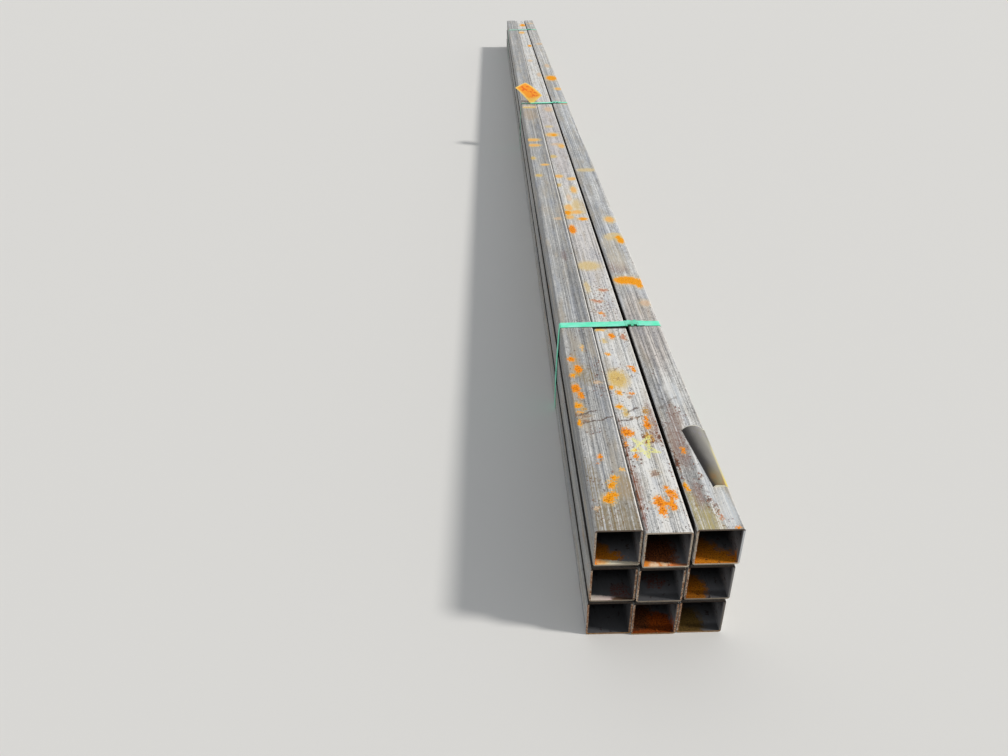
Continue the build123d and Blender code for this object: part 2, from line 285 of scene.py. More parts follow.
# rust marks by column and kind, places where specks crowd, and scratches by their two ends
topMarks = {
    ("left", "orange"): [
        (-9, 249, 6, 11), (-18, 226, 3, 4), (-25, 519, 9, 16), (-36, 553, 13, 24), (-34, 710, 11, 15),
        (-20, 655, 12, 22),
    ],
    ("left", "pale"): [
        (16, 2705, 20, 18), (-20, 3212, 36, 32), (-19, 3092, 34, 30), (36, 200, 5, 6), (4, 775, 4, 18),
    ],
    ("left", "faint"): [(28, 582, 11, 8), (20, 1892, 17, 18), (-37, 69, 7, 6)],
    ("left", "amber"): [
        (-7, 100, 15, 17), (6, 114, 9, 10), (4, 148, 9, 15), (14, 172, 9, 11), (-39, 470, 12, 14),
        (-42, 392, 6, 16), (-36, 437, 10, 4), (-38, 622, 8, 12),
    ],
    ("left", "pit"): [
        (-10, 96, 4, 6), (-1, 110, 2, 4), (4, 146, 3, 5), (13, 171, 2, 3), (-34, 552, 3, 4), (-38, 470, 3, 4),
    ],
    ("left", "gold"): [(-24, 452, 6, 7), (-22, 630, 8, 9)],
    ("left", "brown"): [(-47, 429, 6, 9), (-24, 420, 14, 6), (-30, 400, 12, 6)],
    ("left", "yellow"): [(-25, 2519, 18, 24), (-37, 2832, 14, 30), (-6, 4066, 50, 22)],
    ("left", "speckles"): [
        (-15, 360, 26, 26), (-20, 405, 30, 14), (-32, 152, 18, 26), (42, 140, 10, 60), (-20, 60, 40, 70),
        (30, 620, 40, 120), (-36, 520, 16, 150), (46, 60, 8, 120),
    ],
    ("left", "scratches"): [(-42, 425, 5, 444), (-34, 389, 2, 400), (8, 402, 46, 413)],
    ("centre", "orange"): [
        (-4, 98, 14, 20), (-2, 69, 10, 19), (11, 89, 11, 9), (23, 86, 9, 19), (22, 142, 5, 11),
        (28, 127, 13, 12), (25, 108, 5, 8), (36, 113, 6, 11), (-35, 357, 15, 21), (-21, 350, 6, 7),
        (-42, 308, 5, 10), (-25, 260, 6, 11), (-27, 283, 4, 6), (22, 386, 10, 20), (24, 415, 7, 10),
        (5, 533, 9, 6), (32, 658, 7, 15), (24, 672, 9, 5), (-3, 857, 10, 20), (-34, 1776, 15, 54),
        (-14, 1013, 10, 8),
    ],
    ("centre", "pale"): [
        (-24, 2045, 17, 44), (-2, 1984, 30, 24), (-32, 1922, 18, 24), (20, 2295, 14, 48), (27, 2467, 20, 26),
        (-32, 2513, 20, 26), (-5, 3340, 34, 44), (27, 3080, 16, 38), (-31, 900, 15, 9), (-14, 7900, 30, 90),
    ],
    ("centre", "faint"): [
        (18, 4020, 28, 70), (-10, 6000, 22, 60), (-12, 2180, 12, 50), (10, 3120, 36, 30), (30, 5300, 20, 90),
    ],
    ("centre", "amber"): [
        (20, 8560, 34, 120), (-34, 1975, 15, 34), (28, 6900, 20, 70), (4, 3330, 18, 26), (-45, 567, 7, 12),
        (-27, 537, 9, 11), (-35, 472, 9, 12), (-28, 747, 7, 10), (22, 1897, 21, 20),
    ],
    ("centre", "pit"): [
        (-4, 93, 3, 4), (-34, 350, 3, 5), (24, 112, 3, 4), (28, 130, 2, 3), (23, 384, 3, 4), (-27, 372, 3, 3),
    ],
    ("centre", "gold"): [(24, 329, 6, 11), (11, 314, 8, 9), (15, 341, 9, 11), (28, 448, 7, 14)],
    ("centre", "dark"): [
        (-47, 334, 3, 7), (-47, 313, 3, 7), (-47, 299, 3, 7), (-48, 266, 3, 11), (-48, 120, 4, 22),
        (-47, 80, 3, 10), (41, 335, 5, 10), (44, 318, 4, 8), (38, 352, 4, 5), (4, 338, 5, 9), (8, 318, 3, 7),
        (24, 316, 5, 6), (-48, 205, 3, 12), (47, 385, 3, 20),
    ],
    ("centre", "brown"): [
        (5, 195, 10, 13), (-1, 515, 6, 7), (-18, 612, 3, 5), (-5, 419, 12, 4), (-18, 660, 3, 6),
    ],
    ("centre", "red"): [
        (-12, 1098, 16, 10), (14, 1187, 15, 12), (-28, 1110, 10, 8), (-6, 996, 6, 12), (32, 850, 8, 20),
    ],
    ("centre", "yellow"): [
        (-30, 828, 7, 14), (-45, 2373, 14, 26), (-32, 2873, 18, 30), (-24, 437, 8, 12), (-40, 905, 8, 16),
        (-20, 608, 24, 42), (-22, 456, 7, 8), (-34, 1962, 10, 16),
    ],
    ("centre", "cream"): [(-12, 1398, 42, 36), (-10, 3540, 22, 30), (-37, 1215, 9, 44), (10, 2080, 16, 70)],
    ("centre", "speckles"): [
        (38, 420, 18, 90), (42, 300, 14, 60), (-48, 260, 8, 340), (-46, 120, 16, 90), (20, 360, 28, 70),
        (28, 850, 26, 50), (-10, 640, 40, 60), (46, 160, 8, 200), (-30, 250, 20, 60), (0, 1050, 50, 140),
        (-47, 60, 8, 80), (0, 1200, 50, 70),
    ],
    ("centre", "scratches"): [(-49, 405, -8, 414), (2, 420, 16, 425), (-18, 444, 8, 462)],
    ("right", "orange"): [(-21, 270, 5, 12), (37, 3, 6, 5)],
    ("right", "pale"): [(22, 1872, 20, 36), (26, 4690, 26, 50)],
    ("right", "faint"): [
        (30, 1072, 18, 26), (20, 7000, 36, 70), (30, 4180, 26, 50), (10, 5700, 20, 90), (6, 8700, 40, 60),
    ],
    ("right", "amber"): [
        (-5, 1255, 46, 34), (18, 1245, 34, 32), (35, 1215, 14, 28), (34, 1635, 14, 36), (28, 1668, 12, 18),
        (8, 5125, 44, 110), (-44, 137, 6, 17),
    ],
    ("right", "dark"): [
        (-2, 176, 4, 9), (-46, 222, 5, 28), (-4, 90, 4, 8), (3, 72, 4, 7), (6, 56, 4, 7), (-46, 262, 3, 12),
    ],
    ("right", "red"): [(9, 40, 3, 11), (8, 58, 3, 6)],
    ("right", "cream"): [(-6, 1669, 20, 30), (14, 1702, 28, 14), (4, 2600, 48, 30)],
    ("right", "yellow"): [(30, 1655, 18, 40)],
    ("right", "speckles"): [
        (-24, 290, 28, 110), (-4, 96, 14, 76), (-46, 240, 10, 150), (-10, 420, 30, 70), (-24, 120, 24, 60),
        (4, 50, 9, 40), (20, 16, 30, 20),
    ],
    ("right", "scratches"): [(-46, 447, 12, 505)],
}

# rust inside the near mouths, by kind
borePaints = {
    "gold": stops((0.34, 110, 56, 14), (0.48, 204, 122, 22), (0.70, 232, 154, 40)),
    "ember": stops((0.34, 96, 38, 14), (0.50, 182, 82, 18), (0.70, 220, 114, 28)),
    "dull": stops((0.34, 84, 64, 34), (0.50, 132, 102, 50), (0.70, 160, 128, 66)),
    "dark": stops((0.38, 44, 26, 20), (0.50, 122, 68, 36), (0.66, 176, 104, 54)),
    "red": stops((0.40, 60, 26, 20), (0.52, 128, 56, 36), (0.70, 170, 84, 52)),
}

# where it lies, in mm from the tube's middle, from its mouth and from its middle height, then the
# half sizes the same way
boreRust = {
    ("top", "left"): {"gold": [(-40, 34, -46, 36, 36, 26), (-16, 20, -46, 40, 20, 10)]},
    ("top", "centre"): {"dark": [(-16, 40, -40, 50, 80, 50)]},
    ("top", "right"): {"gold": [(-30, 26, -46, 50, 62, 34), (12, 6, -46, 44, 40, 20)]},
    ("middle", "left"): {"red": [(20, 16, -46, 28, 34, 20)]},
    ("middle", "centre"): {"red": [(0, 60, -46, 26, 26, 20)]},
    ("middle", "right"): {"gold": [(-30, 30, -46, 38, 50, 40)]},
    ("bottom", "left"): {},
    ("bottom", "centre"): {
        "dark": [(-24, 30, -40, 46, 60, 50)],
        "ember": [(22, 20, -46, 34, 42, 30), (-20, 0, -46, 40, 14, 14)],
    },
    ("bottom", "right"): {"dull": [(-26, 26, -46, 44, 54, 40)]},
}

# painted light on the floor of a bore just inside its mouth, where the light falls: colours from left to right
mouthStrips = {
    ("top", "left"): stops(
        (0.06, 255, 156, 50), (0.22, 255, 214, 150), (0.42, 255, 246, 220), (0.9, 214, 200, 176),
    ),
    ("top", "centre"): stops(
        (0.1, 240, 150, 60), (0.25, 255, 226, 190), (0.36, 240, 140, 50),
        (0.5, 250, 220, 180), (0.62, 240, 136, 70), (0.9, 160, 110, 80),
    ),
    ("middle", "left"): stops(
        (0.1, 206, 196, 182), (0.45, 222, 198, 192), (0.6, 110, 84, 66), (0.9, 80, 60, 50),
    ),
}
stripDepth = {"left": 17.0, "right": 5.0}
boreHalf = 46.0

# how far light reaches into a bore, and the mouths that lie deepest in shade
boreDepth = 105.0
boreShade = {("middle", "left"): 0.45, ("bottom", "left"): 0.60, ("middle", "centre"): 0.20}

# the sawn ends, by row where the rows differ; the upper edge is painted shade, and the pale lower edge of the
# top row painted light
sawnEnds = {
    "clean": srgb(206, 194, 176),
    "dull": srgb(146, 132, 118),
    "upper": {"top": (srgb(60, 42, 34), 0.75), "below": (srgb(34, 28, 25), 0.95)},
    "lower": {"top": srgb(214, 202, 180), "middle": srgb(146, 136, 120), "bottom": srgb(150, 112, 62)},
    "outer": {"top": srgb(196, 198, 200), "middle": srgb(128, 126, 124), "bottom": srgb(112, 106, 100)},
    "rust": {"top": 0.02, "middle": 0.11, "bottom": 0.14},
    "paint": stops((0.36, 44, 30, 26), (0.46, 112, 70, 46), (0.56, 170, 122, 84), (0.66, 226, 206, 184)),
}

# how much painted shade darkens the narrow gaps, by the tube's column: the wall to its left and the wall to its
# right
gapShade = {"left": (0.0, 0.15), "centre": (0.15, 0.95), "right": (0.95, 0.0)}

# shade in front of the straps: which strap, how far it reaches in front of it in mm, how dark
strapShade = {
    "left": [("near", 2.0, 0.5), ("middle", 14.0, 0.85), ("far", 14.0, 0.6)],
    "centre": [("near", 8.0, 0.95), ("middle", 14.0, 0.75), ("far", 14.0, 0.6)],
    "right": [("near", 2.0, 0.5), ("middle", 12.0, 0.7), ("far", 14.0, 0.6)],
}

# the star drawn in wax crayon on the top centre tube
star = {
    "tips": [(-23, 328), (31, 273), (-33, 281), (17, 338), (2, 253)],
    "lineWidth": 2.7,
    "crayon": srgb(246, 243, 138),
}


# how the faces of a tube are told apart, in mm from its middle
section = {"half": 50, "bore": 47.2, "markDepth": 40}

# noises in the steel: width in mm, how far it is drawn out along the tube, detail and roughness
grains = {
    "fine": (1.7, 0.0022, 2, 0.55),
    "hair": (1.7, 0.02, 2, 0.6),
    "roll": (5.0, 0.004, 2, 0.6),
    "broad": (12.0, 0.0015, 2, 0.5),
    "patch": (46.0, 0.35, 3, 0.6),
    "warm": (24.0, 0.12, 3, 0.6),
    "dust": (2.4, 0.6, 2, 0.6),
    "mottle": (7.0, 0.45, 4, 0.65),
    "crowd": (90.0, 0.35, 2, 0.5),
    "blotch": (42.0, 0.4, 5, 0.62),
    "rough": (3.2, 1, 4, 0.7),
    "flecks": (5.0, 1, 4, 0.7),
    "wax": (3.4, 1, 3, 0.65),
}

# how much each of them counts in the tone of the rolled steel
toneWeights = {"fine": 1.5, "roll": 1.2, "patch": 0.45, "hair": 0.7, "mottle": 0.7, "dust": 1.0}

# how far the edges of marks wander, in mm, for the two sizes of noise that shake them
wander = {
    "ragged": (15, 19, 0),
    "torn": (11, 13, 0),
    "jagged": (14, 17, 0),
    "mouth": (40, 40, 40),
    "mouthTorn": (8, 8, 8),
    "crayon": (5, 7, 0),
}

# small marks, one to a cell: width of a cell in mm, and the radius as a share of it
specks = {"pits": (5.0, 0.42), "specks": (6.5, 0.46), "borePits": (8.0, 0.45)}

# where each mask starts and where it is full
masks = {
    "cut": (0.85, 0.95),
    "up": (0.3, 0.75),
    "bluish": (0.48, 0.32),
    "warm": (0.50, 0.70),
    "washRim": (0.0, 0.4),
    "stainRim": (-0.25, 0.5),
    "stainStreaks": (0.72, 0.32),
    "scratchRim": (0.15, 0.7),
    "scratchGaps": (0.28, 0.46),
    "bloomRim": (-0.75, 0.1),
    "rustRim": (0.02, 0.16),
    "crowd": (0.52, 0.78),
    "listed": (-0.2, 0.6),
    "crayonRim": (0.05, 0.65),
    "crayonGaps": (0.42, 0.54),
    "blotch": (0.58, 0.72),
    "blotchGaps": (0.40, 0.58),
    "gapSide": (48.9, 49.7),
    "gapStart": (4.0, 30.0),
    "gapTop": (48.6, 45.0),
    "cornerSide": (46.0, 47.2),
    "cornerTop": (43.5, 45.5),
    "cornerGaps": (0.62, 0.50),
    "mouthRim": (-0.15, 0.30),
    "mouthGaps": (0.47, 0.55),
    "lip": (30.0, 14.0),
    "roofDown": (-30.0, 40.0),
    "roofIn": (0.0, 12.0),
    "stripRim": (2.0, -2.0),
    "stripPits": (0.60, 0.72),
    "sawUpright": (43.0, 46.0),
    "sawOuter": (44.0, 46.5),
    "sawLower": (-43.0, -46.0),
    "sawUpper": (42.0, 45.5),
}

# how well each layer covers what is under it
cover = {
    "bluish": 0.30,
    "warm": 0.45,
    "pits": 0.80,
    "specks": 0.80,
    "looseSpecks": 0.30,
    "listedSpecks": 0.70,
    "stain": 0.85,
    "crayon": 0.88,
    "blotch": 0.85,
    "coveredTop": 0.96,
    "borePits": 0.70,
    "boreDepth": 0.92,
    "lip": 0.6,
    "roof": 0.8,
    "sawFlecks": 0.9,
    "sawLower": 0.7,
}


def blobField(sketch, local, blobs):
    # 1 in the middle of the nearest blob, 0 at its rim and less outside
    nearest = 9.0
    for u, v, w, halfU, halfV, halfW in blobs:
        shrink = (1 / halfU, 1 / halfV, 1 / halfW)
        laid = sketch.scaled(local, shrink, (-u / halfU, -v / halfV, -w / halfW))
        nearest = sketch.calc("MINIMUM", sketch.vector("LENGTH", laid), nearest)
    return sketch.minus(1.0, nearest)


def onTop(blobs):
    # marks on the top face reach only a little way down
    return [(u, v, section["half"], halfU, halfV, section["markDepth"]) for u, v, halfU, halfV in blobs]


def lineField(sketch, local, lines, width):
    # 1 on the nearest line, 0 one line width away
    nearest = 900.0
    for startU, startV, endU, endV in lines:
        length = math.hypot(endU - startU, endV - startV)
        stepU, stepV = (endU - startU) / length, (endV - startV) / length
        laid = sketch.vector("SUBTRACT", local, (startU, startV, 0))
        along = sketch.vector("DOT_PRODUCT", laid, (stepU, stepV, 0))
        beside = sketch.vector("DOT_PRODUCT", laid, (-stepV, stepU, 0))
        held = sketch.calc("MINIMUM", sketch.most(along, 0.0), length)
        reach = sketch.vector("LENGTH", sketch.join(sketch.minus(along, held), beside, 0.0))
        nearest = sketch.calc("MINIMUM", reach, nearest)
    return sketch.minus(1.0, sketch.calc("DIVIDE", nearest, width))


def grainOf(sketch, grain, kind):
    width, drawn, detail, rough = grains[kind]
    if drawn != 1:
        grain = sketch.stretched(grain, (1, drawn, 1))
    return sketch.noise(grain, width, detail, rough)


def shakeOf(sketch, grain, width, rough):
    # a vector that points a little way anywhere
    return sketch.vector("SUBTRACT", sketch.noise(grain, width, 2, rough, colour=True), (0.5, 0.5, 0.5))


class TubeSpot:
    # the coordinates and noises that every layer of one tube's steel shares
    def __init__(self, sketch, row, column):
        low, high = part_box("tube_" + row + "_" + column)
        middle = (low + high) / 2
        start = [-c / mm for c in (middle.x, low.y, middle.z)]
        seed = 37.0 * len(row) + 11.0 * len(column) + 53.0 * ord(row[0])
        coords = sketch.coords()
        self.local = sketch.place(coords, start, size=(1 / mm,) * 3)
        self.grain = sketch.vector("ADD", self.local, (seed, seed * 3.1, seed * 1.7))
        self.u, self.v, self.w = sketch.axes(self.local)
        facing = sketch.facing()
        widest = sketch.most(sketch.calc("ABSOLUTE", self.u), sketch.calc("ABSOLUTE", self.w))
        self.inside = sketch.calc("LESS_THAN", widest, section["bore"])
        self.outside = sketch.minus(1.0, self.inside)
        self.cut = sketch.mask(sketch.calc("ABSOLUTE", facing[1]), "cut")
        self.up = sketch.mask(facing[2], "up")
        self.top = sketch.times(self.up, self.outside)
        self.mottle = grainOf(sketch, self.grain, "mottle")
        self.rough = grainOf(sketch, self.grain, "rough")
        self.fine = grainOf(sketch, self.grain, "fine")
        # marks get ragged edges from two sizes of noise
        self.ragged = shakeOf(sketch, self.grain, 14.0, 0.5)
        self.torn = shakeOf(sketch, self.grain, 4.5, 0.6)
        self.shaken = self.shake(sketch, self.local, self.ragged, "ragged")
        self.shaken = self.shake(sketch, self.shaken, self.torn, "torn")
        self.jagged = self.shake(sketch, self.shaken, self.torn, "jagged")

    def shake(self, sketch, place, noise, kind):
        return sketch.vector("ADD", place, sketch.stretched(noise, wander[kind]))


def layered(sketch, start, layers):
    # adds up noises, each round its middle and with its own weight
    total = start
    for value, weight in layers:
        total = sketch.plus(total, sketch.swing(value, weight))
    return total


def rolledSteel(sketch, spot, column):
    # long roll marks, fine ones on broad ones, with soft patches along them
    cast = tubeCast[column]
    noises = {kind: grainOf(sketch, spot.grain, kind) for kind in ("roll", "hair", "broad", "patch", "dust")}
    noises.update(fine=spot.fine, mottle=spot.mottle)
    across = sketch.plus(sketch.times(spot.u, 0.01), 0.5)
    rolled = sketch.ramp(across, [((place + 50) / 100, value) for place, value in tubeBands[column]])
    banded = sketch.axes(sketch.blend(spot.top, noises["broad"], rolled))[0]
    layers = [(noises[kind], weight * cast["contrast"]) for kind, weight in toneWeights.items()]
    tone = layered(sketch, 0.5 + cast["tone"], [(banded, 1.0), *layers])
    colour = sketch.ramp(tone, [(0.0, steel["dark"]), (0.5, steel["middle"]), (1.0, steel["light"])])
    warm = grainOf(sketch, spot.grain, "warm")
    cold = sketch.times(sketch.mask(warm, "bluish"), cover["bluish"])
    colour = sketch.blend(cold, colour, steel["bluish"])
    warmth = sketch.plus(sketch.times(sketch.mask(warm, "warm"), cover["warm"]), cast["tan"])
    return sketch.blend(warmth, colour, steel["tan"])


def specksOf(sketch, spot, kind, share):
    # small round pits, one to a cell, in the given share of the cells
    size, radius = specks[kind]
    distance, chance = sketch.cells(sketch.stretched(spot.shaken, (1, 0.8, 1)), size)
    chosen = sketch.calc("GREATER_THAN", sketch.plus(chance, share), 1.0)
    return sketch.times(chosen, sketch.fade(distance, radius, radius * 0.5))


def topLayers(sketch, spot, column, colour):
    # stains, scratches and rust marks on the top of a top row tube, and where they are rusty
    for tint, blobs in washes[column].items():
        wash = sketch.mask(blobField(sketch, spot.shaken, onTop(blobs)), "washRim")
        colour = sketch.blend(wash, colour, tint, "MULTIPLY")
    for tint, blobs in stains[column].items():
        stain = sketch.mask(blobField(sketch, spot.shaken, onTop(blobs)), "stainRim")
        streaky = layered(sketch, 0.5, [(spot.fine, 0.9), (spot.mottle, 0.4)])
        stain = sketch.times(stain, spot.top, sketch.mask(streaky, "stainStreaks"))
        colour = sketch.coat(colour, tint, stain, cover["stain"])
    lines = lineField(sketch, spot.shaken, topMarks[column, "scratches"], steel["scratchWidth"])
    scratch = sketch.times(sketch.mask(lines, "scratchRim"), spot.top, sketch.mask(spot.mottle, "scratchGaps"))
    colour = sketch.coat(colour, steel["scratch"], scratch, tubeCast[column]["scratch"])
    rusty = 0.0
    for kind, halo, strength in rustLayers:
        if (column, kind) not in topMarks:
            continue
        field = blobField(sketch, spot.jagged, onTop(topMarks[column, kind]))
        bloom = sketch.times(sketch.mask(field, "bloomRim"), spot.top, halo)
        colour = sketch.blend(bloom, colour, steel["bloom"])
        field = layered(sketch, field, [(spot.rough, 1.5)])
        shape = sketch.times(sketch.mask(field, "rustRim"), spot.top)
        rusted = sketch.ramp(spot.rough, rustPaints[kind])
        colour = sketch.coat(colour, rusted, shape, strength)
        rusty = sketch.most(rusty, shape)
    return colour, rusty


def crayonStar(sketch, spot, colour):
    tips = star["tips"]
    lines = [(*start, *end) for start, end in zip(tips, tips[1:] + tips[:1])]
    blurred = spot.shake(sketch, spot.local, spot.torn, "crayon")
    crayon = sketch.mask(lineField(sketch, blurred, lines, 2 * star["lineWidth"]), "crayonRim")
    waxy = sketch.mask(grainOf(sketch, spot.grain, "wax"), "crayonGaps")
    return sketch.coat(colour, star["crayon"], sketch.times(crayon, waxy, spot.top), cover["crayon"])


def boreLayers(sketch, spot, row, column):
    # grey scale in the bore, the rust that creeps in from the mouth, painted shade deeper in and the painted
    # lit strip of its floor
    bore = sketch.blend(spot.mottle, steel["boreDark"], steel["boreScale"])
    mouth = spot.shake(sketch, spot.local, spot.ragged, "mouth")
    mouth = spot.shake(sketch, mouth, spot.torn, "mouthTorn")
    for kind, blobs in boreRust[row, column].items():
        creep = layered(sketch, blobField(sketch, mouth, blobs), [(spot.rough, 0.3)])
        creep = sketch.mask(creep, "mouthRim")
        if kind == "red":
            creep = sketch.times(creep, sketch.mask(spot.rough, "mouthGaps"))
        bore = sketch.blend(creep, bore, sketch.ramp(spot.rough, borePaints[kind]))
    pits = specksOf(sketch, spot, "borePits", 0.16)
    bore = sketch.coat(bore, steel["borePits"], pits, cover["borePits"])
    # little light reaches the inside: painted shade deeper in, just inside the mouths of the lower bores that
    # have no lit strip, under the roof and over the whole of the mouths listed in boreShade
    deep = sketch.times(sketch.fade(spot.v, 8.0, boreDepth), cover["boreDepth"])
    if row != "top" and (row, column) not in mouthStrips:
        deep = sketch.most(deep, sketch.times(sketch.mask(spot.v, "lip"), spot.up, cover["lip"]))
    roof = sketch.times(sketch.mask(spot.w, "roofDown"), sketch.mask(spot.v, "roofIn"), cover["roof"])
    deep = sketch.most(deep, roof)
    deep = sketch.most(deep, boreShade.get((row, column), 0.0))
    bore = sketch.blend(deep, bore, steel["boreShade"])
    # painted light: the lit strip on the floor just inside the mouth
    if (row, column) in mouthStrips:
        run = sketch.plus(sketch.times(sketch.axes(mouth)[0], 0.0105), 0.5)
        slope = (stripDepth["right"] - stripDepth["left"]) / (2 * boreHalf)
        reach = sketch.plus(sketch.times(spot.u, slope), (stripDepth["right"] + stripDepth["left"]) / 2)
        reach = sketch.minus(sketch.plus(spot.v, sketch.swing(spot.mottle, 8.0)), reach)
        strip = sketch.times(spot.up, sketch.mask(reach, "stripRim"))
        lit = sketch.ramp(run, mouthStrips[row, column])
        lit = sketch.blend(sketch.mask(spot.rough, "stripPits"), lit, steel["stripPits"])
        bore = sketch.blend(strip, bore, lit)
    return bore


def sawnEnd(sketch, spot, row, column):
    # the sawn end: pale where it is clean, brown where rust has taken it, with painted shade along the upper
    # edge and painted light along the lower edge of the top row
    saw = sketch.blend(spot.mottle, sawnEnds["dull"], sawnEnds["clean"])
    share = sawnEnds["rust"][row]
    upright = sketch.mask(sketch.calc("ABSOLUTE", spot.u), "sawUpright")
    flecks = sketch.plus(grainOf(sketch, spot.grain, "flecks"), sketch.times(upright, 0.10))
    flecks = sketch.fade(flecks, 0.60 - share, 0.72 - share)
    if column == "right":
        # the outer upright stays bare
        outer = sketch.mask(spot.u, "sawOuter")
        flecks = sketch.times(flecks, sketch.minus(1.0, outer))
        saw = sketch.blend(outer, saw, sawnEnds["outer"][row])
    rust = sketch.ramp(spot.rough, sawnEnds["paint"])
    saw = sketch.coat(saw, rust, flecks, cover["sawFlecks"])
    # the lower edge, painted light on the top row
    lower = sketch.times(sketch.mask(spot.w, "sawLower"), cover["sawLower"])
    saw = sketch.blend(lower, saw, sawnEnds["lower"][row])
    # painted shade along the upper edge
    if (row, column) != ("top", "centre"):
        tint, strength = sawnEnds["upper"]["top" if row == "top" else "below"]
        saw = sketch.coat(saw, tint, sketch.mask(spot.w, "sawUpper"), strength)
    return saw, flecks


def gapLayers(sketch, spot, row, column):
    # painted shade in the narrow gaps between the columns and on the tops that carry another tube
    gapShading = 0.0
    for side, share in zip((-1.0, 1.0), gapShade[column]):
        if share > 0:
            reach = sketch.mask(sketch.times(spot.u, side), "gapSide")
            gapShading = sketch.plus(gapShading, sketch.times(reach, share))
    gapShading = sketch.times(gapShading, sketch.mask(spot.v, "gapStart"))
    if row == "top":
        gapShading = sketch.times(gapShading, sketch.mask(spot.w, "gapTop"))
    else:
        gapShading = sketch.most(gapShading, sketch.times(spot.top, cover["coveredTop"]))
    return sketch.times(gapShading, spot.outside)


def strapLines(sketch, spot, column, colour):
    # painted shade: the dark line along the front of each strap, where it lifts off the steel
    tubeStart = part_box("tube_top_" + column)[0].y
    for place, span, share in strapShade[column]:
        front = (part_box("strap_" + place)[0].y - tubeStart) / mm
        start = sketch.fade(spot.v, front - span - 1, front - span + 1)
        line = sketch.times(start, spot.top, sketch.fade(spot.v, front + 14, front + 10))
        colour = sketch.coat(colour, steel["gapShade"], line, share)
    return colour


def tubeSteel(row, column):
    sketch = NodeSketch(bpy.data.materials.new("steel_" + row + "_" + column))
    spot = TubeSpot(sketch, row, column)
    colour = rolledSteel(sketch, spot, column)

    # pits everywhere, brown specks where the lists say, thin elsewhere
    pits = specksOf(sketch, spot, "pits", tubeCast[column]["pits"])
    colour = sketch.coat(colour, steel["pepper"], pits, cover["pits"])
    crowd = sketch.mask(grainOf(sketch, spot.grain, "crowd"), "crowd")
    crowd = sketch.times(crowd, cover["looseSpecks"])
    if row == "top":
        listed = blobField(sketch, spot.local, onTop(topMarks[column, "speckles"]))
        listed = sketch.times(sketch.mask(listed, "listed"), cover["listedSpecks"])
        crowd = sketch.most(sketch.times(crowd, 0.5), listed)
    rusty = sketch.times(specksOf(sketch, spot, "specks", crowd), spot.outside)
    specked = sketch.ramp(spot.rough, rustPaints["speck"])
    colour = sketch.coat(colour, specked, rusty, cover["specks"])
    if row == "top":
        colour, marked = topLayers(sketch, spot, column, colour)
        rusty = sketch.most(rusty, marked)
    if (row, column) == ("top", "centre"):
        colour = crayonStar(sketch, spot, colour)

    # the walls that aren't seen from above carry loose blotches of rust
    blotch = sketch.times(sketch.minus(1.0, spot.up), spot.outside, sketch.mask(spot.mottle, "blotchGaps"))
    blotch = sketch.times(blotch, sketch.mask(grainOf(sketch, spot.grain, "blotch"), "blotch"))
    blotched = sketch.ramp(spot.rough, rustPaints["gold"])
    colour = sketch.coat(colour, blotched, blotch, cover["blotch"])
    rusty = sketch.most(rusty, blotch)

    # painted shade in the gaps between the tubes and on the covered tops
    gapShading = gapLayers(sketch, spot, row, column)
    colour = sketch.blend(gapShading, colour, steel["gapShade"])
    rusty = sketch.most(rusty, gapShading)
    if row == "top":
        # painted highlight along the corner to the right, where the light catches it
        cornerHighlight = sketch.times(sketch.mask(spot.u, "cornerSide"), sketch.mask(spot.w, "cornerTop"))
        cornerHighlight = sketch.times(cornerHighlight, sketch.mask(spot.rough, "cornerGaps"))
        colour = sketch.coat(colour, steel["corner"], cornerHighlight, tubeCast[column]["corner"])
        colour = strapLines(sketch, spot, column, colour)

    colour = sketch.blend(spot.inside, colour, boreLayers(sketch, spot, row, column))
    rusty = sketch.most(rusty, sketch.times(spot.inside, 0.8))
    saw, flecks = sawnEnd(sketch, spot, row, column)
    colour = sketch.blend(spot.cut, colour, saw)
    rusty = sketch.most(rusty, sketch.times(flecks, spot.cut))

    shader = sketch.shader
    sketch.plug(shader.inputs["Base Color"], colour)
    clean = sketch.calc("SUBTRACT", 1.0, rusty, clamp=True)
    shader.inputs["Specular IOR Level"].default_value = steel["specular"]
    sketch.plug(shader.inputs["Metallic"], sketch.times(clean, steel["metallic"]))
    bare = sketch.plus(sketch.swing(spot.mottle, 0.25), steel["roughness"])
    inputs = {0: rusty, 2: bare, 3: steel["rustRoughness"]}
    roughness = sketch.node("ShaderNodeMix", inputs, data_type="FLOAT")
    sketch.plug(shader.inputs["Roughness"], roughness.outputs[0])
    height = layered(sketch, 0.0, [(spot.fine, 0.35), (spot.rough, 1.0)])
    relief = sketch.bump(height, steel["bumpDepth"])
    sketch.plug(relief.inputs["Strength"], sketch.plus(sketch.times(rusty, 0.7), 0.3))
    return sketch.owner


for row in ("top", "middle", "bottom"):
    for column in ("left", "centre", "right"):
        dress("tube_" + row + "_" + column, tubeSteel(row, column))
print("tubes dressed")


# the card tag under the middle strap, in its own flat frame: across and up from its tucked corner
tag = {
    "fromSide": 30.0,
    "lean": 48.0,
    "turn": 40.0,
    "width": 95.0,
    "length": 168.0,
    "rimWidth": 9.0,
    "card": srgb(255, 160, 34),
    "rim": srgb(255, 212, 108),
    "smudge": srgb(240, 112, 20),
    "crease": srgb(196, 112, 34),
    "tipFade": (66.0, 36.0),
    "smudgeInset": (10.0, 24.0),
    "smudgeSwirl": 90,
    "bumpDepth": 0.0002,
}

# green paint on the strapping and its seals
paint = {
    "strap": srgb(94, 248, 198),
    "seal": srgb(74, 206, 160),
    "faded": srgb(144, 246, 218),
    "edge": srgb(24, 110, 76),
    "grime": srgb(40, 110, 88),
    "tagShadow": srgb(20, 44, 38),
    "tagShadowBlur": 14.0,
    "bare": srgb(150, 152, 150),
    "chip": {"strap": 0.70, "seal": 0.64},
    "roughness": 0.38,
    "bumpDepth": 0.00025,
}


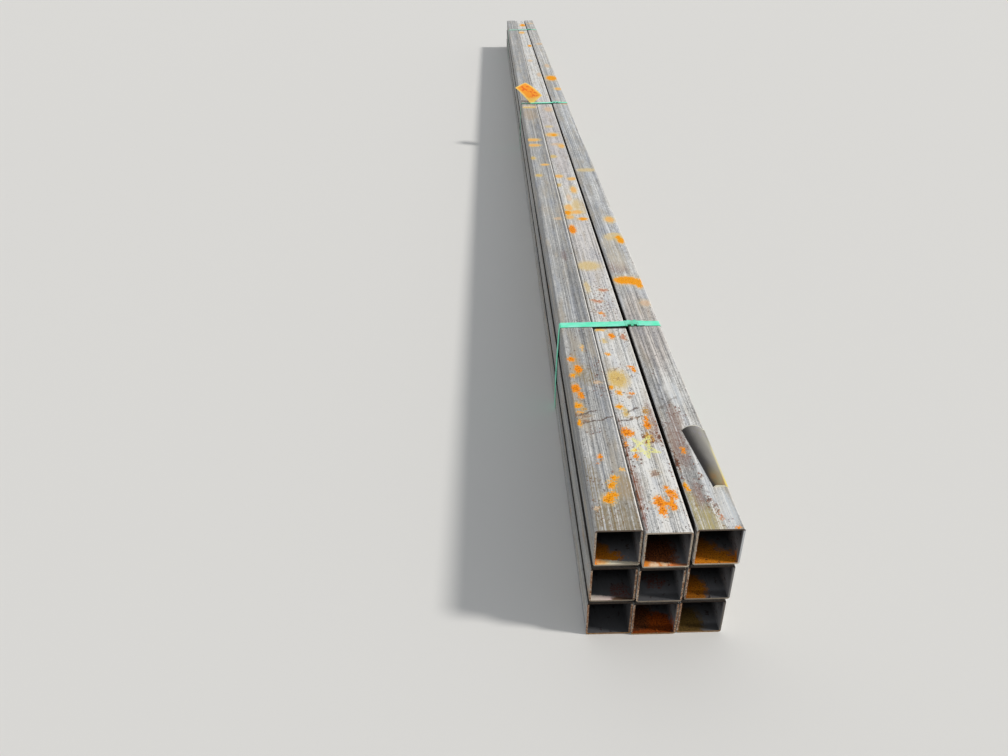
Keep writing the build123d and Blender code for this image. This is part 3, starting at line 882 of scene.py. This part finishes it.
def tagShadowMask(sketch, coords, dust):
    # painted shadow: the middle strap is near black on the near side of the tag, where the tag shades it
    low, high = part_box("strap_middle")
    x, y, z = sketch.axes(coords)
    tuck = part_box("tube_top_left")[1].x - tag["fromSide"] * mm
    return sketch.times(
        sketch.fade(x, tuck, tuck - paint["tagShadowBlur"] * mm),
        sketch.fade(y, low.y - 10 * mm, low.y - 5 * mm),
        sketch.fade(y, high.y + 10 * mm, high.y + 5 * mm),
        sketch.fade(z, high.z - 30 * mm, high.z - 10 * mm),
        sketch.fade(dust, 0.62, 0.50),
    )


def greenPaint(kind):
    sketch = NodeSketch(bpy.data.materials.new("paint_" + kind))
    coords = sketch.coords()
    local = sketch.place(coords, size=(1 / mm,) * 3)
    lengthways = sketch.noise(sketch.stretched(local, (0.05, 1, 0.05)), 2.6, 3, 0.6)
    cloud = sketch.noise(local, 34.0, 3, 0.55)
    dust = sketch.noise(local, 5.0, 4, 0.65)
    chips = sketch.noise(sketch.stretched(local, (0.6, 1, 0.6)), 4.0, 5, 0.7)
    facing = sketch.facing()
    colour = sketch.blend(sketch.fade(cloud, 0.35, 0.70), paint[kind], paint["faded"])
    colour = sketch.coat(colour, paint["grime"], sketch.fade(lengthways, 0.55, 0.75), 0.35)
    colour = sketch.coat(colour, paint["grime"], sketch.fade(dust, 0.58, 0.75), 0.3)
    # painted shade: the strap's front and back faces are darker green
    edge = sketch.fade(sketch.calc("ABSOLUTE", facing[1]), 0.6, 0.9)
    colour = sketch.coat(colour, paint["edge"], edge, 0.85)
    # painted shadow of the tag on the middle strap
    colour = sketch.blend(tagShadowMask(sketch, coords, dust), colour, paint["tagShadow"])
    bare = sketch.fade(chips, paint["chip"][kind], paint["chip"][kind] + 0.03)
    colour = sketch.blend(bare, colour, paint["bare"])
    shader = sketch.shader
    sketch.plug(shader.inputs["Base Color"], colour)
    sketch.plug(shader.inputs["Metallic"], sketch.times(bare, 0.8))
    sketch.plug(shader.inputs["Roughness"], sketch.plus(sketch.times(dust, 0.25), paint["roughness"] - 0.1))
    sketch.bump(sketch.plus(sketch.times(lengthways, 0.3), sketch.times(bare, -0.5)), paint["bumpDepth"])
    return sketch.owner


strapPaint, sealPaint = greenPaint("strap"), greenPaint("seal")
for place in ("near", "middle", "far"):
    dress("strap_" + place, strapPaint)
    dress("seal_" + place, sealPaint)
print("straps and seals dressed")


def tagCard():
    sketch = NodeSketch(bpy.data.materials.new("card_tag"))
    strapLow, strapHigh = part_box("strap_middle")
    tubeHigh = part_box("tube_top_left")[1]
    corner = (tubeHigh.x - tag["fromSide"] * mm, (strapLow.y + strapHigh.y) / 2, tubeHigh.z)
    coords = sketch.coords()
    leaned = sketch.place(coords, corner, (math.radians(tag["lean"]), 0, 0), how="TEXTURE")
    flat = sketch.place(leaned, (0, 0, 0), (0, 0, math.radians(tag["turn"])), (mm, mm, mm), how="TEXTURE")
    across, up = sketch.axes(flat)[:2]
    toSide = sketch.calc("MINIMUM", across, sketch.minus(tag["width"], across))
    toEnd = sketch.calc("MINIMUM", up, sketch.minus(tag["length"], up))
    toRim = sketch.calc("MINIMUM", toSide, toEnd)
    flat = sketch.join(across, up, 0.0)
    wear = sketch.noise(flat, 22.0, 3, 0.6)
    fibre = sketch.noise(flat, 1.6, 3, 0.6)
    # a pale worn rim, smudges inside it, a paler tip and a few creases
    rim = sketch.plus(toRim, sketch.swing(wear, 16.0))
    rim = sketch.fade(rim, tag["rimWidth"] * 1.6, tag["rimWidth"] * 0.4)
    colour = sketch.blend(rim, tag["card"], tag["rim"])
    swirl = sketch.noise(flat, 40.0, 2, 0.5, colour=True)
    swirl = sketch.stretched(swirl, (tag["smudgeSwirl"], tag["smudgeSwirl"], 0))
    smudge = sketch.vector("ADD", sketch.stretched(flat, (1.0, 0.5, 1)), swirl)
    smudge = sketch.fade(sketch.noise(smudge, 26.0, 2, 0.5), 0.50, 0.57)
    smudge = sketch.times(smudge, sketch.fade(toRim, *tag["smudgeInset"]))
    colour = sketch.blend(smudge, colour, tag["smudge"])
    tip = sketch.fade(sketch.plus(up, sketch.times(across, 0.6)), *tag["tipFade"])
    colour = sketch.coat(colour, tag["rim"], tip, 0.8)
    crease = sketch.noise(sketch.stretched(flat, (0.25, 1, 1)), 14.0, 4, 0.6)
    colour = sketch.coat(colour, tag["crease"], sketch.fade(crease, 0.62, 0.70), 0.35)
    shader = sketch.shader
    sketch.plug(shader.inputs["Base Color"], colour)
    sketch.plug(shader.inputs["Roughness"], sketch.plus(sketch.times(wear, 0.2), 0.6))
    sketch.bump(sketch.plus(sketch.times(wear, 3.0), fibre), tag["bumpDepth"])
    return sketch.owner


dress("tucked_tag", tagCard())
print("tag dressed")


# the weathered label: grey face, pale card underneath and along the cut ends
label = {
    "face": srgb(132, 129, 124),
    "shade": srgb(72, 69, 68),
    "lightSide": srgb(154, 152, 142),
    "lilac": srgb(146, 140, 156),
    "stuckSide": srgb(216, 206, 160),
    "edgeHighlight": srgb(238, 218, 118),
    "card": srgb(232, 228, 212),
    "under": srgb(206, 194, 166),
    "damp": srgb(150, 116, 76),
    "olive": srgb(146, 134, 98),
    "skew": 0.105,
    "rimWidth": 3.0,
    "foldTorn": 27.4,
    "foldBlur": 0.4,
    "tornCard": srgb(255, 250, 230),
    "specular": 0.2,
    "bumpDepth": 0.0003,
}


def labelCard():
    low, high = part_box("curled_label")
    sketch = NodeSketch(bpy.data.materials.new("card_label"))
    coords = sketch.coords()
    local = sketch.place(coords, [-c / mm for c in low], size=(1 / mm,) * 3)
    u, v, w = sketch.axes(local)
    long = (high.y - low.y) / mm
    wide = (high.x - low.x) / mm
    fibre = sketch.noise(local, 2.0, 4, 0.65)
    cloud = sketch.noise(sketch.stretched(local, (1, 0.35, 1)), 15.0, 3, 0.6)
    wavy = sketch.swing(cloud, 12.0)
    toEnd = sketch.minus(long, v)
    # painted shade across the curl: darkest along its left edge, which runs over to the right towards the near
    # end, and painted light towards the right-hand side
    side = sketch.plus(sketch.minus(u, sketch.times(toEnd, label["skew"])), wavy)
    colour = sketch.blend(sketch.fade(side, 2.0, wide * 0.42), label["shade"], label["face"])
    colour = sketch.blend(sketch.fade(side, wide * 0.40, wide * 0.75), colour, label["lightSide"])
    # faded patches along it and damp stains towards its near end
    patches = sketch.fade(sketch.noise(sketch.stretched(local, (1, 0.5, 1)), 26.0, 3, 0.6), 0.50, 0.64)
    patches = sketch.times(patches, sketch.fade(side, 8.0, 24.0))
    colour = sketch.coat(colour, label["lilac"], patches, 0.5)
    nearEnd = sketch.times(sketch.fade(sketch.plus(v, wavy), 84.0, 14.0), sketch.fade(side, -2.0, 10.0))
    colour = sketch.coat(colour, label["olive"], nearEnd, 0.75)
    damp = sketch.times(sketch.fade(v, 52.0, 26.0), sketch.fade(cloud, 0.40, 0.56))
    colour = sketch.coat(colour, label["damp"], damp, 0.65)
    # painted highlight along the margin that is stuck over the tube's corner, yellower towards the near end
    margin = sketch.times(sketch.fade(u, wide - 8.0, wide - 4.5), sketch.fade(v, 182.0, 120.0))
    edgeHighlight = sketch.blend(sketch.fade(v, 52.0, 14.0), label["stuckSide"], label["edgeHighlight"])
    colour = sketch.coat(colour, edgeHighlight, margin, 0.85)
    rim = sketch.plus(toEnd, sketch.swing(fibre, 4.0))
    colour = sketch.blend(sketch.fade(rim, label["rimWidth"], label["rimWidth"] * 0.3), colour, label["card"])
    colour = sketch.coat(colour, label["shade"], sketch.fade(fibre, 0.55, 0.75), 0.25)
    facing = sketch.facing()
    colour = sketch.blend(sketch.fade(facing[2], 0.05, -0.05), colour, label["under"])
    # the fold at its near end is torn along the bottom, where the card shows
    fold = sketch.fade(facing[1], -0.80, -0.95)
    torn = sketch.plus(w, sketch.times(wavy, 0.25))
    torn = sketch.fade(torn, label["foldTorn"] + label["foldBlur"], label["foldTorn"] - label["foldBlur"])
    colour = sketch.blend(fold, colour, sketch.blend(torn, label["olive"], label["tornCard"]))
    shader = sketch.shader
    shader.inputs["Specular IOR Level"].default_value = label["specular"]
    sketch.plug(shader.inputs["Base Color"], colour)
    sketch.plug(shader.inputs["Roughness"], sketch.plus(sketch.times(fibre, 0.3), 0.55))
    sketch.bump(sketch.plus(sketch.times(cloud, 2.0), fibre), label["bumpDepth"])
    return sketch.owner


dress("curled_label", labelCard())
print("label dressed")


# pale studio floor, soft key from the right and an even fill
studio = {
    "floorSize": 160.0,
    "floor": srgb(222, 221, 218),
    "floorRoughness": 0.9,
    "backdrop": srgb(226, 226, 225),
    "keyFrom": (5.4, -1.0, 5.0),
    "keyStrength": 2.34,
    "keySoftness": 7.0,
    "keyColour": (1.0, 0.97, 0.93),
    "fillHigh": srgb(226, 232, 240),
    "fillLow": srgb(240, 238, 234),
    "fillStrength": 0.545,
}
half = studio["floorSize"] / 2
floorMesh = bpy.data.meshes.new("floor")
corners = [(-half, -half, 0), (half, -half, 0), (half, half, 0), (-half, half, 0)]
floorMesh.from_pydata(corners, [], [(0, 1, 2, 3)])
floor = bpy.data.objects.new("floor", floorMesh)
scene.collection.objects.link(floor)
floorSketch = NodeSketch(bpy.data.materials.new("pale_floor"))
floorSketch.shader.inputs["Base Color"].default_value = studio["floor"]
floorSketch.shader.inputs["Roughness"].default_value = studio["floorRoughness"]
floorMesh.materials.append(floorSketch.owner)

keyLight = bpy.data.lights.new("key", "SUN")
keyLight.energy = studio["keyStrength"]
keyLight.angle = math.radians(studio["keySoftness"])
keyLight.color = studio["keyColour"]
key = bpy.data.objects.new("key", keyLight)
key.rotation_euler = Vector(studio["keyFrom"]).to_track_quat("Z", "Y").to_euler()
scene.collection.objects.link(key)

# the pale backdrop is what the camera and the gloss see, the fill is what lights the object
air = NodeSketch(bpy.data.worlds.new("studio"))
scene.world = air.owner
upward = air.axes(air.node("ShaderNodeTexCoord").outputs["Generated"])[2]
fill = air.tree.nodes["Background"]
fill.inputs["Strength"].default_value = studio["fillStrength"]
air.plug(fill.inputs["Color"], air.ramp(upward, [(0.0, studio["fillLow"]), (1.0, studio["fillHigh"])]))
backdrop = air.node("ShaderNodeBackground", {"Color": studio["backdrop"]})
paths = air.node("ShaderNodeLightPath").outputs
seen = air.most(paths["Is Camera Ray"], paths["Is Glossy Ray"])
seen = air.most(seen, paths["Is Transmission Ray"])
chooser = air.node("ShaderNodeMixShader", {0: seen, 1: fill.outputs[0], 2: backdrop.outputs[0]})
air.plug(air.tree.nodes["World Output"].inputs["Surface"], chooser.outputs[0])
scene.view_settings.view_transform = "Standard"
print("studio set")

# hand held camera, standing just short of the near ends
view = {
    "place": (-0.3285, -5.6683, 1.3840),
    "turn": (58.814, 0.810, -0.957),
    "lens": 27.22,
    "farthest": 300.0,
}
cameraData = bpy.data.cameras.new("camera")
cameraData.lens = view["lens"]
cameraData.clip_end = view["farthest"]
camera = bpy.data.objects.new("camera", cameraData)
camera.location = view["place"]
camera.rotation_euler = [math.radians(angle) for angle in view["turn"]]
scene.collection.objects.link(camera)
scene.camera = camera
